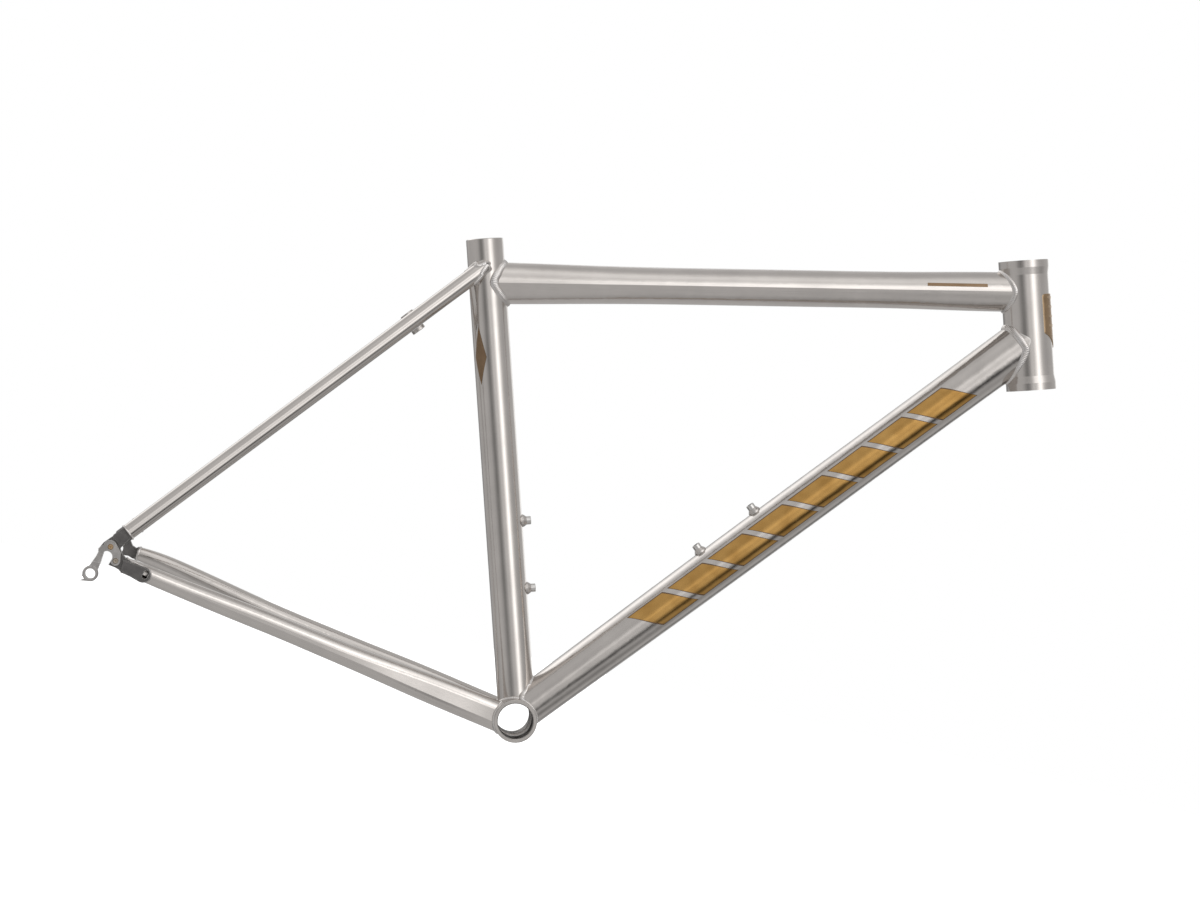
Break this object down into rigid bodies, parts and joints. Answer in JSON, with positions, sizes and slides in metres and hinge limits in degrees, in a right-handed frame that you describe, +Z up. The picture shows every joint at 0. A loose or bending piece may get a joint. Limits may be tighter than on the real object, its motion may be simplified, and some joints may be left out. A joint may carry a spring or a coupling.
{
  "type": "bicycle frame",
  "caption": "Welded metal road bicycle frame with sloping top tube, curved chainstays, a bolt-on rear derailleur hanger and a rim-brake mount, without fork or wheels.",
  "frame": {"origin": "centre of the bottom bracket shell", "axes": "+X forward along the bicycle, +Y to the rider's left, +Z up; the drive side is -Y"},
  "size_m": [0.8597, 0.1516, 0.5576],
  "materials": {
    "titanium_tube": "titanium tube, brushed lengthwise, satin",
    "titanium_machined": "titanium, brushed, with finer turned end rings",
    "titanium_turned": "turned titanium, fine rings, satin",
    "dropout": "blasted titanium, dark matte, bright bevelled edges",
    "hanger": "machined aluminium, fine satin",
    "hanger_bolt_brass": "bronze-toned bolt, satin",
    "hanger_bolt_steel": "steel bolt, satin",
    "bottle_bolt": "polished stainless steel",
    "tube_graphic": "thin plain gold and bronze bands on the tubes, satin",
    "badge": "plain bronze plate, satin, darker edge"
  },
  "bodies": {
    "root": {"bottle_bolt_down_lower": "bottle_bolt", "bottle_bolt_down_upper": "bottle_bolt", "bottle_bolt_seat_lower": "bottle_bolt", "bottle_bolt_seat_upper": "bottle_bolt", "bottle_boss_down_lower": "titanium_turned", "bottle_boss_down_upper": "titanium_turned", "bottle_boss_seat_lower": "titanium_turned", "bottle_boss_seat_upper": "titanium_turned", "bottom_bracket_shell": "titanium_turned", "brake_boss": "titanium_turned", "brake_bridge_left": "titanium_tube", "brake_bridge_right": "titanium_tube", "chainstay_left": "titanium_tube", "chainstay_right": "titanium_tube", "derailleur_hanger": "hanger", "down_tube": "titanium_tube", "dropout_left": "dropout", "dropout_right": "dropout", "hanger_bolt_lower": "hanger_bolt_steel", "hanger_bolt_upper": "hanger_bolt_brass", "head_badge": "badge", "head_tube": "titanium_machined", "seat_tube": "titanium_tube", "seatstay_left": "titanium_tube", "seatstay_right": "titanium_tube", "top_tube": "titanium_tube"}
  },
  "joints": []
}
